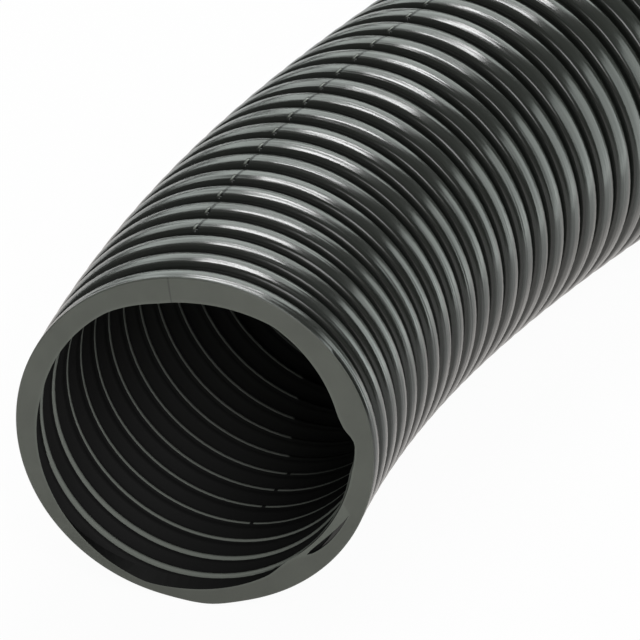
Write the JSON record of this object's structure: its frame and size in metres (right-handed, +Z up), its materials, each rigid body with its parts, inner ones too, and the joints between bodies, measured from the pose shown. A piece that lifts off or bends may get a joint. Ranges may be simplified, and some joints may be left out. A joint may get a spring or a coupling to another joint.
{
  "type": "pool vacuum hose",
  "caption": "Corrugated 38 mm pool vacuum hose, bare cut end in front, the rest in a strapped coil with a swivel cuff on its far end.",
  "frame": {"origin": "middle of the bare end's mouth, on the hose's axis", "axes": "+Y runs into the hose from that mouth, +X is to the right seen from the mouth, +Z is up; the ground is 23 mm under the origin"},
  "size_m": [0.7052, 0.5524, 0.1495],
  "materials": {
    "hose_wall": "semi-gloss blow-moulded polyethylene and EVA",
    "strap_webbing": "hook-and-loop webbing",
    "cuff_moulding": "satin injection-moulded EVA",
    "ring_acetal": "natural acetal",
    "gasket_rubber": "matte rubber"
  },
  "bodies": {
    "hose": {"hose_mouth": "hose_wall", "hose_lead": "hose_wall", "hose_coil": "hose_wall", "hose_tail": "hose_wall", "coil_strap_far": "strap_webbing", "coil_strap_side": "strap_webbing", "coil_strap_near": "strap_webbing", "cuff_collar": "cuff_moulding", "cuff_retaining_ring": "ring_acetal"},
    "swivel": {"cuff_swivel": "cuff_moulding", "cuff_gasket": "gasket_rubber"}
  },
  "joints": [
    {"name": "cuff_turn", "type": "hinge", "parent": "hose", "child": "swivel", "pos_m": [0.4525, 0.46, 0.0988], "axis": [1, 0, 0], "continuous": true}
  ]
}
